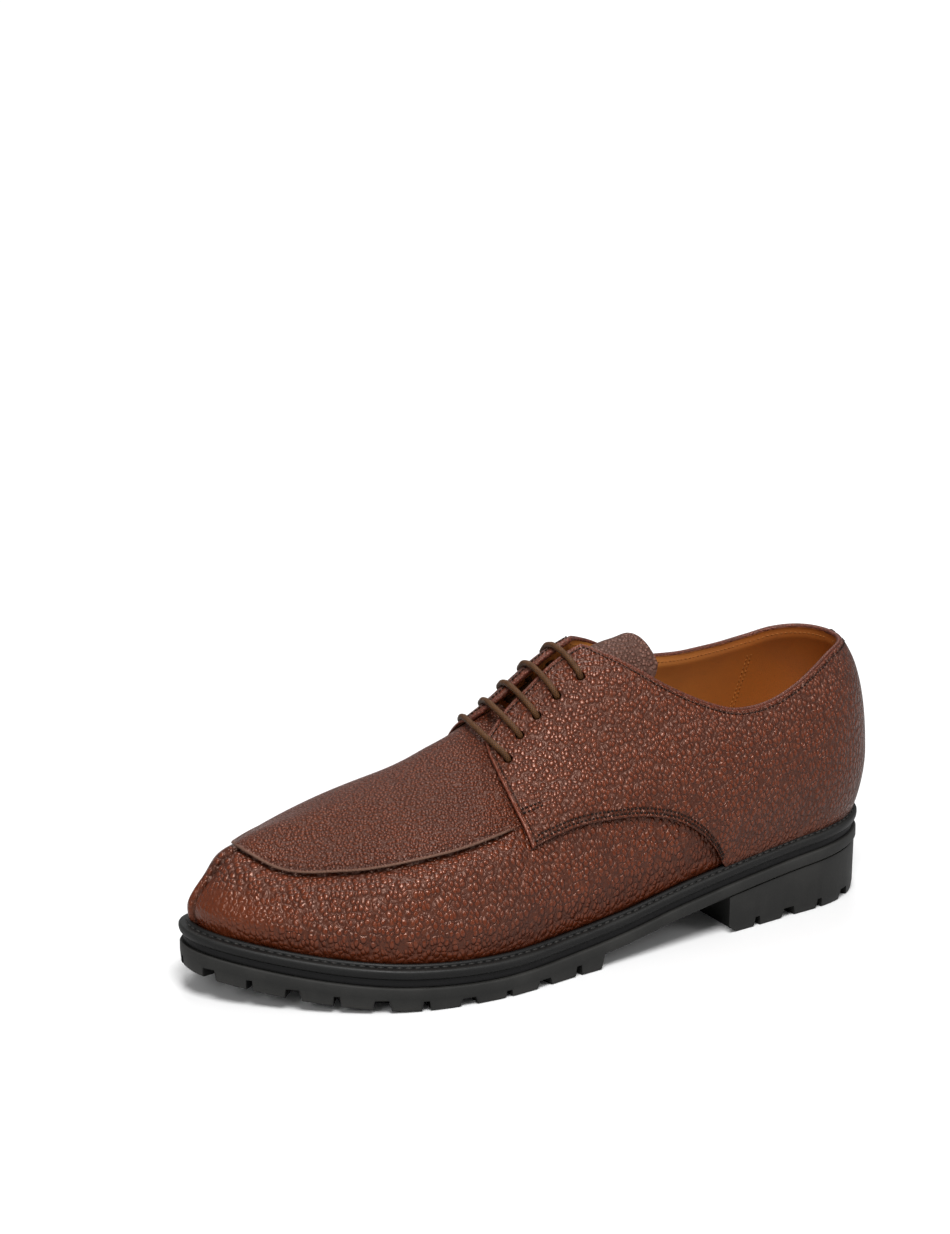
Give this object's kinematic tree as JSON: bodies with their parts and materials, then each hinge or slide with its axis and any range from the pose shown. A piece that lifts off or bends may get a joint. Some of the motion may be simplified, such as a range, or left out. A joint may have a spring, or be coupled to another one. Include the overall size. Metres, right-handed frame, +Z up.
{
  "type": "lace-up shoe",
  "caption": "Left derby shoe in grained brown leather with an apron toe, laced open facings, leather lining and a lugged black rubber sole with a block heel.",
  "frame": {"origin": "middle of the bounding box on the floor plane the shoe stands on", "axes": "+X from toe to heel along the shoe, +Y to the medial side, +Z up"},
  "size_m": [0.3058, 0.1056, 0.1216],
  "materials": {
    "leather_brown": "grained, semi-gloss",
    "leather_dark": "smooth, semi-gloss",
    "leather_tan": "smooth, satin",
    "cord_brown": "waxed, matte",
    "rubber_black": "matte",
    "rubber_midsole": "matte"
  },
  "bodies": {
    "root": {"upper": "leather_brown", "quarter_lateral": "leather_brown", "quarter_medial": "leather_brown", "back_strip": "leather_dark", "tongue": "leather_brown", "lace": "cord_brown", "insole": "leather_tan", "welt": "rubber_black", "midsole": "rubber_midsole", "outsole": "rubber_black", "heel": "rubber_black"}
  },
  "joints": []
}
